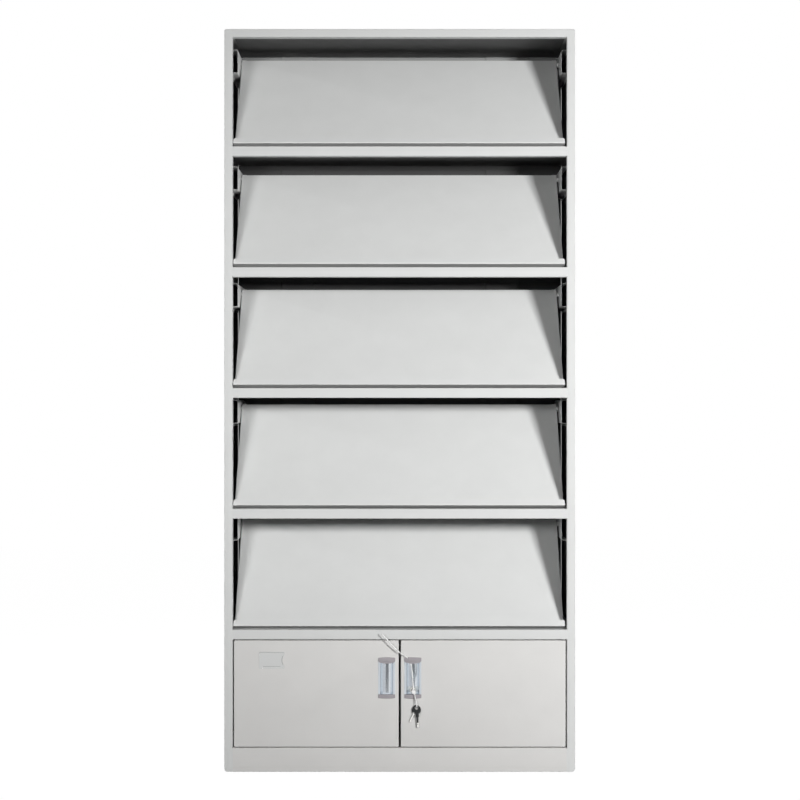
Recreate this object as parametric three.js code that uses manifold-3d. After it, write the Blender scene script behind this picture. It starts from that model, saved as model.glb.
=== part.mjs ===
// Periodical display rack: a sheet-steel cabinet with five sloping display flaps that lift and
// push back on rails, over a two-door lockable cupboard. Millimetres, +Z up, front towards -Y,
// origin on the floor in the middle of the cabinet.
import * as THREE from 'three';
import { mergeVertices } from 'three/addons/utils/BufferGeometryUtils.js';
import Module from 'manifold-3d';

// Driving dimensions of the carcass
const WIDTH = 850;
const DEPTH = 390;
const HEIGHT = 1800;
const SHEET = 0.8;
const BEND = 1.0;
const FIT = 0.3;
const STILE_WIDTH = 20;
const STILE_RETURN = 16;
const REAR_FLANGE = 18;
const BACK_RECESS = 40;
const CROWN_FLANGE = 15;
const FOLD_LAP = 12;
const FOOT_BEND = 7.2;
const CROWN_BEND = 2.8;
const HEADER_HEIGHT = 20;
const TIERS = 5;
const TIER_PITCH = 292.8;
const LOWEST_SHELF = 344.6;
const BAR_HEIGHT = 24;
const BAR_RETURN = 20;
const PLINTH_HEIGHT = 58.2;
const LID_FLANGE = 15;
const SHELF_FLANGE = 12;
const FLOOR_FLANGE = 20;

// Driving dimensions of the flaps and the rails that they run in
const FLAP_ANGLE = THREE.MathUtils.degToRad(51.2);
const FLAP_LENGTH = 322.5;
const FLAP_HALF_WIDTH = 401.5;
const FLAP_SIDE_PLAY = 1.5;
const FLAP_FOOT_DEPTH = 28;
const FLAP_FOOT_LIFT = 1.6;
const FLAP_FLANGE = 16;
const FLAP_TOP_FOLD = 12;
const TRAY_DEPTH = 24;
const TRAY_RISE = THREE.MathUtils.degToRad(18);
const LIP_HEIGHT = 16;
const LIP_HALF_WIDTH = 402.3;
const LIP_CORNER = 5;
const ROD_FROM_TOP = 10;
const ROD_BEHIND_FACE = 8;
const ROD_RADIUS = 2.5;
const BUSH_RADIUS = 4;
const BUSH_FLANGE_RADIUS = 6;
const FLAP_TRAVEL = 94;
const RAIL_FRONT_DEPTH = 145;
const RAIL_REAR_DEPTH = 342;
const RAIL_DROP = 6;
const RAIL_HEIGHT = 58;
const RAIL_FOOT = 8;
const RAIL_BEND = 3;
const ROD_REACH = 8;
const BUSH_REACH = 6;

// Driving dimensions of the doors and their hardware
const DOOR_GAP = 3;
const DOOR_CENTRE_GAP = 5;
const DOOR_BOTTOM = 60.4;
const DOOR_TOP = 318.4;
const DOOR_DEPTH = 18;
const DOOR_EDGE = 2;
const DOOR_RETURN = 12;
const PIVOT_FROM_EDGE = 6.5;
const PIVOT_DEPTH = 5.5;
const PIVOT_RADIUS = 2.5;
const HANDLE_X = 31.7;
const HANDLE_Z = 228;
const HANDLE_WIDTH = 41;
const HANDLE_HEIGHT = 100;
const HANDLE_CAP = 10;
const HANDLE_PROUD = 5;
const HANDLE_WALL = 1.5;
const HANDLE_EDGE = 2;
const SCOOP_HALF_CHORD = 15.5;
const SCOOP_DEPTH = 12.5;
const SCOOP_SHEET = 1;
const LOCK_Z = 198;
const LOCK_BODY_RADIUS = 5.5;
const PLUG_RADIUS = 4;
const CAM_LENGTH = 44;
const CAM_THICK = 2;
const LABEL = { x: [-341, -279], z: [250, 291], thick: 1.2, rim: 4, pocket: 0.6, slit: 0.5 };
const TIE_RADIUS = 1.3;
const TIE_STEPS = 48;

// Places worked out from the driving dimensions
const FRONT = -DEPTH / 2;
const BACK = DEPTH / 2;
const HALF = WIDTH / 2;
const OPENING = HALF - STILE_WIDTH;
const RAIL_WEB = OPENING + FIT;
const WALL_INSIDE = HALF - SHEET;
const BACK_SHEET = BACK - BACK_RECESS;
const SHELF_REAR = BACK_SHEET - 6;
const SIDES = { left: -1, right: 1 };
const shelfTop = (tier) => LOWEST_SHELF + (TIERS - tier) * TIER_PITCH;
const tierCeiling = (tier) => shelfTop(tier) + TIER_PITCH - BAR_HEIGHT;

const finishes = {
  paint: new THREE.MeshStandardMaterial({ color: '#d2d3d2', roughness: 0.5, metalness: 0 }),
  nylon: new THREE.MeshStandardMaterial({ color: '#eceae4', roughness: 0.45, metalness: 0 }),
  steel: new THREE.MeshStandardMaterial({ color: '#b4b4b2', roughness: 0.35, metalness: 1 }),
  plastic: new THREE.MeshStandardMaterial({ color: '#8d8588', roughness: 0.35, metalness: 0 }),
  aluminium: new THREE.MeshStandardMaterial({ color: '#c3c9d2', roughness: 0.2, metalness: 1 }),
  chrome: new THREE.MeshStandardMaterial({ color: '#d8d8d6', roughness: 0.12, metalness: 1 }),
  black: new THREE.MeshStandardMaterial({ color: '#1d1d1f', roughness: 0.4, metalness: 0 }),
  label: new THREE.MeshStandardMaterial({ color: '#cfd0cf', roughness: 0.3, metalness: 0 }),
};

const wasm = await Module();
wasm.setup();

// A closed geometry as a solid that can be joined and cut
function solidOf(geometry) {
  const bare = geometry.clone();
  bare.deleteAttribute('normal');
  bare.deleteAttribute('uv');
  const merged = mergeVertices(bare, 1e-4);
  return new wasm.Manifold(new wasm.Mesh({
    numProp: 3,
    vertProperties: new Float32Array(merged.attributes.position.array),
    triVerts: new Uint32Array(merged.index.array),
  }));
}

function geometryOf(solid) {
  const mesh = solid.getMesh();
  const geometry = new THREE.BufferGeometry();
  geometry.setAttribute('position', new THREE.BufferAttribute(mesh.vertProperties, 3));
  geometry.setIndex(new THREE.BufferAttribute(mesh.triVerts, 1));
  geometry.computeVertexNormals();
  return geometry;
}

function joined(first, ...others) {
  return geometryOf(others.reduce((sum, other) => sum.add(solidOf(other)), solidOf(first)));
}

function cut(body, ...tools) {
  return geometryOf(tools.reduce((rest, tool) => rest.subtract(solidOf(tool)), solidOf(body)));
}

function common(first, second) {
  return geometryOf(solidOf(first).intersect(solidOf(second)));
}

const axisX = new THREE.Vector3(1, 0, 0);
const axisY = new THREE.Vector3(0, 1, 0);
const axisZ = new THREE.Vector3(0, 0, 1);

function extruded(shape, length, steps) {
  return new THREE.ExtrudeGeometry(shape, {
    depth: length, bevelEnabled: false, curveSegments: steps,
  });
}

// A section drawn in (y, z), swept along X
function alongX(shape, from, to, steps = 2) {
  const geometry = extruded(shape, to - from, steps);
  geometry.applyMatrix4(new THREE.Matrix4().makeBasis(axisY, axisZ, axisX));
  return geometry.translate(from, 0, 0);
}

// A section drawn in (x, z), swept along Y
function alongY(shape, from, to, steps = 2) {
  const geometry = extruded(shape, to - from, steps);
  geometry.applyMatrix4(new THREE.Matrix4().makeBasis(axisX, axisZ, axisY.clone().negate()));
  return geometry.translate(0, to, 0);
}

// A section drawn in (x, y), swept along Z
function alongZ(shape, from, to, steps = 2) {
  return extruded(shape, to - from, steps).translate(0, 0, from);
}

function block(x, y, z) {
  const geometry = new THREE.BoxGeometry(x[1] - x[0], y[1] - y[0], z[1] - z[0]);
  return geometry.translate((x[0] + x[1]) / 2, (y[0] + y[1]) / 2, (z[0] + z[1]) / 2);
}

// A block on the left or the right, given by how far its faces are from the middle
function sideBlock(side, x, y, z) {
  return block([side * x[0], side * x[1]].sort((a, b) => a - b), y, z);
}

// The section of a folded sheet. The path is one face of the sheet, with sharp corners; the
// thickness lies on its left (1) or its right (-1), and every bend is rounded.
function foldedSheet(path, thickSide, bend = BEND, thickness = SHEET) {
  const corners = path.map(([a, b]) => new THREE.Vector2(a, b));
  const leftOf = (direction) => new THREE.Vector2(-direction.y, direction.x);
  const towards = (i) => corners[i + 1].clone().sub(corners[i]).normalize();
  const bends = corners.slice(1, -1).map((corner, i) => {
    const into = towards(i);
    const turn = Math.atan2(into.cross(towards(i + 1)), into.dot(towards(i + 1)));
    const left = Math.sign(turn);
    const face = left === thickSide ? bend + thickness : bend;
    const centre = corner.clone()
      .addScaledVector(into, -face * Math.tan(Math.abs(turn) / 2))
      .addScaledVector(leftOf(into), left * face);
    const start = leftOf(into).multiplyScalar(-left).angle();
    return { centre, face, back: face - left * thickSide * thickness, start, turn };
  });
  const shape = new THREE.Shape();
  const bendPoint = ({ centre, start }, radius, turned) => shape.lineTo(
    centre.x + radius * Math.cos(start + turned), centre.y + radius * Math.sin(start + turned));
  const backOf = (corner, direction) =>
    corner.clone().addScaledVector(leftOf(direction), thickSide * thickness);
  const first = backOf(corners[0], towards(0));
  const end = corners[corners.length - 1];
  const endBack = backOf(end, towards(corners.length - 2));
  shape.moveTo(corners[0].x, corners[0].y);
  for (const b of bends) {
    bendPoint(b, b.face, 0);
    shape.absarc(b.centre.x, b.centre.y, b.face, b.start, b.start + b.turn, b.turn < 0);
  }
  shape.lineTo(end.x, end.y);
  shape.lineTo(endBack.x, endBack.y);
  for (const b of bends.reverse()) {
    bendPoint(b, b.back, b.turn);
    shape.absarc(b.centre.x, b.centre.y, b.back, b.start + b.turn, b.start, b.turn > 0);
  }
  shape.lineTo(first.x, first.y);
  shape.closePath();
  return shape;
}

function roundedRectangle(x, z, radius) {
  const shape = new THREE.Shape();
  shape.moveTo(x[0] + radius, z[0]);
  shape.lineTo(x[1] - radius, z[0]);
  shape.absarc(x[1] - radius, z[0] + radius, radius, -Math.PI / 2, 0);
  shape.lineTo(x[1], z[1] - radius);
  shape.absarc(x[1] - radius, z[1] - radius, radius, 0, Math.PI / 2);
  shape.lineTo(x[0] + radius, z[1]);
  shape.absarc(x[0] + radius, z[1] - radius, radius, Math.PI / 2, Math.PI);
  shape.lineTo(x[0], z[0] + radius);
  shape.absarc(x[0] + radius, z[0] + radius, radius, Math.PI, 1.5 * Math.PI);
  return shape;
}

function disc(a, b, radius) {
  const shape = new THREE.Shape();
  shape.absarc(a, b, radius, 0, 2 * Math.PI);
  return shape;
}

const rack = new THREE.Group();

function add(name, geometry, finish, group = rack) {
  const mesh = new THREE.Mesh(geometry, finishes[finish].clone());
  mesh.name = name;
  group.add(mesh);
  return mesh;
}

// Side panels: one sheet folded round the front stile and the rear flange, with rounded folds
// inwards at the foot and at the crown
function sidePanel(side) {
  const top = HEIGHT - SHEET - FIT;
  const wall = foldedSheet([
    [side * (HALF - REAR_FLANGE), BACK],
    [side * HALF, BACK],
    [side * HALF, FRONT],
    [side * OPENING, FRONT],
    [side * OPENING, FRONT + STILE_RETURN],
  ], -side);
  // What lies outside a rounded fold
  const corner = (edge, up, bend) => {
    const shape = new THREE.Shape();
    const x = side * HALF;
    const outer = bend + SHEET;
    const start = Math.atan2(-up, 0);
    const radius = bend + 0.8 * SHEET;
    shape.moveTo(x + side, edge - up);
    shape.lineTo(x - side * outer, edge - up);
    shape.absarc(x - side * outer, edge + up * outer, radius, start,
      side > 0 ? 0 : Math.PI, side * up < 0);
    shape.lineTo(x + side, edge + up * outer);
    shape.closePath();
    return alongY(shape, FRONT - 1, BACK + 1, 3);
  };
  const fold = (edge, up, bend) => alongY(foldedSheet([
    [side * HALF, edge + up * (bend + FOLD_LAP)],
    [side * HALF, edge],
    [side * (HALF - CROWN_FLANGE), edge],
  ], side * up < 0 ? 1 : -1, bend), FRONT + BEND + SHEET, BACK - BEND - SHEET, 3);
  const trimmed = cut(alongZ(wall, 0, top),
    corner(0, 1, FOOT_BEND), corner(top, -1, CROWN_BEND));
  return joined(trimmed, fold(0, 1, FOOT_BEND), fold(top, -1, CROWN_BEND));
}

// Back panel: flat sheet set in from the rear flanges, stiffened by two shallow pressed ribs, with
// its upper corners cut away under the folds of the side panels
function backPanel() {
  const y = BACK_SHEET - SHEET - FIT;
  const edge = WALL_INSIDE - BEND - FIT;
  const rib = { inner: 224, outer: 311, depth: 3 };
  const ribPath = (from, to) => [
    [from, y], [from + rib.depth, y - rib.depth], [to - rib.depth, y - rib.depth], [to, y],
  ];
  const section = foldedSheet([
    [-edge, y],
    ...ribPath(-rib.outer, -rib.inner),
    ...ribPath(rib.inner, rib.outer),
    [edge, y],
  ], -1);
  const corner = (side) => sideBlock(side, [HALF - CROWN_FLANGE - 2 * FIT, HALF], [0, BACK],
    [HEIGHT - CROWN_BEND - SHEET - FIT, HEIGHT]);
  const sheet = alongZ(section, FOOT_BEND + SHEET + FIT, HEIGHT - SHEET - FIT, 1);
  return cut(sheet, corner(-1), corner(1));
}

// The front folds of the top, base and shelves stand between the stiles
function stileNotch(side, z) {
  return sideBlock(side, [OPENING - FIT, HALF + 1], [FRONT - 1, FRONT + BAR_RETURN + FIT], z);
}

function topPanel() {
  const header = HEIGHT - HEADER_HEIGHT;
  const section = foldedSheet([
    [FRONT + BAR_RETURN, header],
    [FRONT, header],
    [FRONT, HEIGHT],
    [BACK, HEIGHT],
    [BACK, HEIGHT - LID_FLANGE],
  ], -1);
  const halfWidth = HALF - CROWN_BEND;
  const under = [header - 1, HEIGHT - SHEET];
  const rear = (side) => sideBlock(side, [HALF - REAR_FLANGE - FIT, HALF + 1],
    [BACK - 2 * (BEND + SHEET), BACK + 1], under);
  const sides = Object.values(SIDES);
  return cut(alongX(section, -halfWidth, halfWidth),
    ...sides.map((side) => stileNotch(side, under)), ...sides.map(rear));
}

// A tray between the side walls: front fold with its return, rear flange and side flanges
function tray(bottom, top, flange) {
  const edge = WALL_INSIDE - FIT;
  const lap = { inner: edge - 18, outer: edge - 6 };
  const section = foldedSheet([
    [FRONT + BAR_RETURN, bottom],
    [FRONT, bottom],
    [FRONT, top],
    [SHELF_REAR, top],
    [SHELF_REAR, top - flange],
  ], -1);
  const sideFlange = (side) => alongY(foldedSheet([
    [side * lap.inner, top],
    [side * edge, top],
    [side * edge, top - flange],
  ], -side), FRONT + BAR_RETURN + FIT, SHELF_REAR - 2 * (BEND + SHEET));
  const body = cut(alongX(section, -lap.outer, lap.outer),
    ...Object.values(SIDES).map((side) => stileNotch(side, [bottom - 1, top + 1])));
  return joined(body, sideFlange(-1), sideFlange(1));
}

// Rails: hat-section channels with the guide slot of the flap's bushes in the web
function rail(side, tier, rod) {
  const top = tierCeiling(tier) - RAIL_DROP;
  const foot = WALL_INSIDE - FIT - SHEET;
  const section = foldedSheet([
    [side * foot, top + RAIL_FOOT],
    [side * foot, top],
    [side * RAIL_WEB, top],
    [side * RAIL_WEB, top - RAIL_HEIGHT],
    [side * foot, top - RAIL_HEIGHT],
    [side * foot, top - RAIL_HEIGHT - RAIL_FOOT],
  ], side, RAIL_BEND);
  const radius = BUSH_RADIUS + FIT;
  const slot = roundedRectangle([rod.y - radius, rod.y + FLAP_TRAVEL + radius],
    [rod.z - radius, rod.z + radius], radius - FIT);
  const channel = alongY(section, FRONT + RAIL_FRONT_DEPTH, FRONT + RAIL_REAR_DEPTH);
  const through = [side * (RAIL_WEB - RAIL_BEND), side * (RAIL_WEB + RAIL_BEND)];
  return cut(channel, alongX(slot, ...through.sort((a, b) => a - b)));
}

// Flaps are drawn upright with their face towards -Y and the rod on the X axis. In their tiers
// they stand at the left end of their side play.
const FLAP_BOTTOM = ROD_FROM_TOP - FLAP_LENGTH;

function flap() {
  const face = -ROD_BEHIND_FACE;
  const trayAngle = TRAY_RISE - (Math.PI / 2 - FLAP_ANGLE);
  const trayEnd = [
    face - TRAY_DEPTH * Math.cos(trayAngle),
    FLAP_BOTTOM + TRAY_DEPTH * Math.sin(trayAngle),
  ];
  const lipTop = trayEnd[1] + LIP_HEIGHT;
  // What lies outside a rounded upper corner of the lip
  const lipCorner = (side) => {
    const x = side * (LIP_HALF_WIDTH - LIP_CORNER);
    const z = lipTop - LIP_CORNER;
    const shape = new THREE.Shape();
    shape.moveTo(side * HALF, z);
    shape.absarc(x, z, LIP_CORNER, side > 0 ? 0 : Math.PI, Math.PI / 2, side < 0);
    shape.lineTo(x, lipTop + 1);
    shape.lineTo(side * HALF, lipTop + 1);
    shape.closePath();
    return alongY(shape, trayEnd[0] - 2, trayEnd[0] + 4, 2);
  };
  const overlap = 6;
  const sheet = alongX(foldedSheet([
    [face + FLAP_TOP_FOLD, ROD_FROM_TOP],
    [face, ROD_FROM_TOP],
    [face, FLAP_BOTTOM + overlap / 2],
  ], 1), overlap - FLAP_HALF_WIDTH, FLAP_HALF_WIDTH - overlap);
  const trough = alongX(foldedSheet([
    [face, FLAP_BOTTOM + overlap],
    [face, FLAP_BOTTOM],
    trayEnd,
    [trayEnd[0], lipTop],
  ], 1), -LIP_HALF_WIDTH, LIP_HALF_WIDTH, 3);
  const clearance = FLAP_FLANGE / Math.tan(FLAP_ANGLE) + 2;
  const sideEdge = (side) => {
    const section = foldedSheet([
      [side * (FLAP_HALF_WIDTH - 2 * overlap), face],
      [side * FLAP_HALF_WIDTH, face],
      [side * FLAP_HALF_WIDTH, face + FLAP_FLANGE],
    ], side);
    const lowStrip = sideBlock(side, [FLAP_HALF_WIDTH - 2 * overlap, FLAP_HALF_WIDTH],
      [face, face + SHEET], [FLAP_BOTTOM + overlap / 2, FLAP_BOTTOM + clearance + 1]);
    return [alongZ(section, FLAP_BOTTOM + clearance, ROD_FROM_TOP), lowStrip];
  };
  const rodHole = alongX(disc(0, 0, ROD_RADIUS + FIT), -HALF, HALF, 4);
  return cut(joined(sheet, trough, ...sideEdge(-1), ...sideEdge(1)),
    rodHole, lipCorner(-1), lipCorner(1));
}

// Where a tier's rod lies when its flap rests on the shelf
function rodPlace(tier) {
  const along = FLAP_LENGTH - ROD_FROM_TOP;
  const back = ROD_BEHIND_FACE;
  return {
    y: FRONT + FLAP_FOOT_DEPTH + along * Math.cos(FLAP_ANGLE) + back * Math.sin(FLAP_ANGLE),
    z: shelfTop(tier) + FLAP_FOOT_LIFT + along * Math.sin(FLAP_ANGLE)
      - back * Math.cos(FLAP_ANGLE),
  };
}

function pivotRod() {
  const end = OPENING + ROD_REACH;
  return alongX(disc(0, 0, ROD_RADIUS), -end, end, 4);
}

// Flanged bush: turned profile on the rod's axis, flange between the flap and the rail
function bush(side) {
  const bore = ROD_RADIUS + FIT;
  const flangeFrom = FLAP_HALF_WIDTH - side * FLAP_SIDE_PLAY + FIT;
  const flangeTo = RAIL_WEB - FIT;
  const end = OPENING + BUSH_REACH;
  const profile = [
    [bore, flangeFrom], [BUSH_FLANGE_RADIUS, flangeFrom], [BUSH_FLANGE_RADIUS, flangeTo],
    [BUSH_RADIUS, flangeTo], [BUSH_RADIUS, end], [bore, end], [bore, flangeFrom],
  ].map(([radius, along]) => new THREE.Vector2(radius, along));
  const geometry = new THREE.LatheGeometry(profile, 10);
  return geometry.rotateZ(side * -Math.PI / 2);
}

for (const [name, side] of Object.entries(SIDES)) {
  add(`side_panel_${name}`, sidePanel(side), 'paint');
}
add('back_panel', backPanel(), 'paint');
add('top_panel', topPanel(), 'paint');

const flapAll = flap();
for (let tier = 1; tier <= TIERS; tier++) {
  const rod = rodPlace(tier);
  for (const [name, side] of Object.entries(SIDES)) {
    add(`rail_${tier}_${name}`, rail(side, tier, rod), 'paint');
  }
  const carriage = new THREE.Group();
  carriage.position.set(0, rod.y, rod.z);
  rack.add(carriage);
  add(`pivot_rod_${tier}`, pivotRod(), 'steel', carriage);
  for (const [name, side] of Object.entries(SIDES)) {
    add(`bush_${tier}_${name}`, bush(side), 'nylon', carriage);
  }
  const leaf = add(`flap_${tier}`, flapAll.clone(), 'paint', carriage);
  leaf.position.x = -FLAP_SIDE_PLAY;
  leaf.rotation.x = FLAP_ANGLE - Math.PI / 2;
}

// Shelves, and the cupboard floor whose front fold is the plinth. The lowest shelf has the
// holes of the door pins and of the door bolt in the return of its bar.
const pivotX = OPENING - DOOR_GAP - PIVOT_FROM_EDGE;
const pivotY = FRONT + PIVOT_DEPTH;
const bolt = { x: -72, y: FRONT + 5, width: 12, thick: 2, length: 80, slack: 0.6 };

function pinHole(side, z) {
  return alongZ(disc(side * pivotX, pivotY, PIVOT_RADIUS + FIT), z - 3, z + 3, 4);
}

for (let tier = 1; tier < TIERS; tier++) {
  const top = shelfTop(tier);
  add(`shelf_${tier}`, tray(top - BAR_HEIGHT, top, SHELF_FLANGE), 'paint');
}
const lowShelfTop = shelfTop(TIERS);
const lowShelfBottom = lowShelfTop - BAR_HEIGHT;
const boltSlot = (z) => block(
  [bolt.x - bolt.width / 2 - bolt.slack, bolt.x + bolt.width / 2 + bolt.slack],
  [bolt.y - bolt.thick / 2 - bolt.slack, bolt.y + bolt.thick / 2 + bolt.slack], [z - 2, z + 2]);
add(`shelf_${TIERS}`, cut(tray(lowShelfBottom, lowShelfTop, SHELF_FLANGE),
  pinHole(-1, lowShelfBottom), pinHole(1, lowShelfBottom), boltSlot(lowShelfBottom)), 'paint');
add('base_panel', cut(tray(0, PLINTH_HEIGHT, FLOOR_FLANGE),
  pinHole(-1, PLINTH_HEIGHT), pinHole(1, PLINTH_HEIGHT)), 'paint');

// Doors: pans with rolled front edges and a return lip round the back
function doorPan(x, z) {
  const rolled = (inset, depth, edge) => {
    const shape = roundedRectangle(
      [x[0] + inset + edge, x[1] - inset - edge], [z[0] + inset + edge, z[1] - inset - edge], 0.6);
    const geometry = new THREE.ExtrudeGeometry(shape, {
      depth, bevelEnabled: true, bevelThickness: edge, bevelSize: edge, bevelSegments: 3,
      curveSegments: 1,
    });
    geometry.applyMatrix4(new THREE.Matrix4().makeBasis(axisX, axisZ, axisY.clone().negate()));
    return geometry.translate(0, FRONT + inset + edge + depth, 0);
  };
  const beyond = 20;
  const shell = cut(rolled(0, DOOR_DEPTH + beyond, DOOR_EDGE),
    rolled(SHEET, DOOR_DEPTH + beyond, DOOR_EDGE - SHEET),
    block([x[0] - 1, x[1] + 1], [FRONT + DOOR_DEPTH, FRONT + DOOR_DEPTH + 2 * beyond],
      [z[0] - 1, z[1] + 1]));
  const lap = SHEET / 2;
  const ring = roundedRectangle([x[0] + lap, x[1] - lap], [z[0] + lap, z[1] - lap], DOOR_EDGE);
  ring.holes.push(roundedRectangle([x[0] + DOOR_RETURN, x[1] - DOOR_RETURN],
    [z[0] + DOOR_RETURN, z[1] - DOOR_RETURN], 2));
  return joined(shell, alongY(ring, FRONT + DOOR_DEPTH - SHEET, FRONT + DOOR_DEPTH, 1));
}

const doorEdge = OPENING - DOOR_GAP;
const doorX = {
  left: [-doorEdge, -DOOR_CENTRE_GAP / 2],
  right: [DOOR_CENTRE_GAP / 2, doorEdge],
};
const handleBody = { halfWidth: HANDLE_WIDTH / 2 - 1.5, halfHeight: HANDLE_HEIGHT / 2 - 1.5 };

for (const [name, side] of Object.entries(SIDES)) {
  const middle = side * HANDLE_X;
  const window = roundedRectangle(
    [middle - handleBody.halfWidth - FIT, middle + handleBody.halfWidth + FIT],
    [HANDLE_Z - handleBody.halfHeight - FIT, HANDLE_Z + handleBody.halfHeight + FIT], 1.5);
  const tools = [
    alongY(window, FRONT - 1, FRONT + 3),
    pinHole(side, DOOR_BOTTOM),
    pinHole(side, DOOR_TOP),
  ];
  if (name === 'left') {
    tools.push(boltSlot(DOOR_TOP));
  }
  add(`door_${name}`, cut(doorPan(doorX[name], [DOOR_BOTTOM, DOOR_TOP]), ...tools), 'paint');
}

// Hinge pins: headed pins through the shelf or the floor into the door's corner
function hingePin(side, sheetFace, up) {
  const head = 1.6;
  const reach = DOOR_GAP + 9;
  const profile = [
    [0, -head - SHEET - FIT], [PIVOT_RADIUS + 1.4, -head - SHEET - FIT],
    [PIVOT_RADIUS + 1.4, -SHEET - FIT], [PIVOT_RADIUS, -SHEET - FIT],
    [PIVOT_RADIUS, reach - 1], [PIVOT_RADIUS - 1, reach], [0, reach],
  ].map(([radius, along]) => new THREE.Vector2(radius, along));
  const geometry = new THREE.LatheGeometry(profile, 12).rotateX(up * Math.PI / 2);
  return geometry.translate(side * pivotX, pivotY, sheetFace);
}

for (const [name, side] of Object.entries(SIDES)) {
  add(`hinge_pin_${name}_top`, hingePin(side, lowShelfBottom, -1), 'steel');
  add(`hinge_pin_${name}_bottom`, hingePin(side, PLINTH_HEIGHT, 1), 'steel');
}

// Handles: a plastic housing with a cup behind the door and two domed end caps in front of it,
// and a bright scoop between the caps
const scoopFace = FRONT - FIT - SCOOP_SHEET;
const scoopRadius = (SCOOP_HALF_CHORD ** 2 + SCOOP_DEPTH ** 2) / (2 * SCOOP_DEPTH);
const scoopAxis = scoopFace + SCOOP_DEPTH - scoopRadius;
const capInner = HANDLE_HEIGHT / 2 - HANDLE_CAP;

// Half of the angle that an arc about the scoop's axis spans where it meets the plane at y
function arcEnd(radius, y) {
  return Math.asin((y - scoopAxis) / radius);
}

function scoop(middle) {
  const edge = HANDLE_WIDTH / 2;
  const back = scoopFace + SCOOP_SHEET;
  const inner = arcEnd(scoopRadius, scoopFace);
  const outer = arcEnd(scoopRadius + SCOOP_SHEET, back);
  const shape = new THREE.Shape();
  shape.moveTo(middle - edge, scoopFace);
  shape.lineTo(middle - scoopRadius * Math.cos(inner), scoopFace);
  shape.absarc(middle, scoopAxis, scoopRadius, Math.PI - inner, inner, true);
  shape.lineTo(middle + edge, scoopFace);
  shape.lineTo(middle + edge, back);
  shape.absarc(middle, scoopAxis, scoopRadius + SCOOP_SHEET, outer, Math.PI - outer, false);
  shape.lineTo(middle - edge, back);
  shape.closePath();
  return alongZ(shape, HANDLE_Z - capInner, HANDLE_Z + capInner, 8);
}

function housing(middle) {
  const cupInside = scoopRadius + SCOOP_SHEET + FIT;
  const cupOutside = cupInside + HANDLE_WALL;
  const mouth = FRONT + FIT;
  const body = handleBody.halfHeight;
  const crescent = new THREE.Shape();
  const inner = arcEnd(cupInside, mouth);
  const outer = arcEnd(cupOutside, mouth);
  crescent.absarc(middle, scoopAxis, cupOutside, outer, Math.PI - outer, false);
  crescent.absarc(middle, scoopAxis, cupInside, Math.PI - inner, inner, true);
  crescent.closePath();
  const cup = alongZ(crescent, HANDLE_Z - body, HANDLE_Z + body, 6);
  const plugFront = FRONT - FIT - 1;
  const plug = new THREE.Shape();
  const plugEnd = arcEnd(cupOutside, plugFront);
  plug.absarc(middle, scoopAxis, cupOutside, plugEnd, Math.PI - plugEnd, false);
  plug.closePath();
  const edge = HANDLE_WIDTH / 2;
  const side = FRONT - HANDLE_PROUD / 2;
  const dome = new THREE.Shape();
  dome.moveTo(middle - edge, FRONT + 2 * HANDLE_EDGE);
  dome.lineTo(middle - edge, side);
  dome.quadraticCurveTo(middle, FRONT - 1.5 * HANDLE_PROUD, middle + edge, side);
  dome.lineTo(middle + edge, FRONT + 2 * HANDLE_EDGE);
  dome.closePath();
  const bar = new THREE.ExtrudeGeometry(dome, {
    depth: HANDLE_HEIGHT - 2 * HANDLE_EDGE, curveSegments: 8, bevelSegments: 2,
    bevelThickness: HANDLE_EDGE, bevelSize: HANDLE_EDGE, bevelOffset: -HANDLE_EDGE,
  }).translate(0, 0, HANDLE_Z - HANDLE_HEIGHT / 2 + HANDLE_EDGE);
  const capsFrom = capInner + FIT;
  const caps = cut(bar,
    block([middle - edge - 1, middle + edge + 1], [FRONT - FIT, FRONT + 20],
      [HANDLE_Z - HANDLE_HEIGHT, HANDLE_Z + HANDLE_HEIGHT]),
    block([middle - edge - 1, middle + edge + 1], [FRONT - 20, FRONT + 20],
      [HANDLE_Z - capsFrom, HANDLE_Z + capsFrom]));
  const bulge = 1.5;
  const outline = new THREE.Shape();
  const corner = HANDLE_HEIGHT / 2 - bulge;
  const bow = HANDLE_HEIGHT / 2 + bulge;
  outline.moveTo(middle - edge, HANDLE_Z - corner);
  outline.quadraticCurveTo(middle, HANDLE_Z - bow, middle + edge, HANDLE_Z - corner);
  outline.lineTo(middle + edge, HANDLE_Z + corner);
  outline.quadraticCurveTo(middle, HANDLE_Z + bow, middle - edge, HANDLE_Z + corner);
  outline.closePath();
  const plugs = [[-body, -capsFrom], [capsFrom, body]].map(([from, to]) =>
    alongZ(plug, HANDLE_Z + from, HANDLE_Z + to, 6));
  const envelope = alongY(outline, FRONT - 2 * HANDLE_PROUD, FRONT + DOOR_DEPTH, 8);
  return common(joined(cup, ...plugs, caps), envelope);
}

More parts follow.
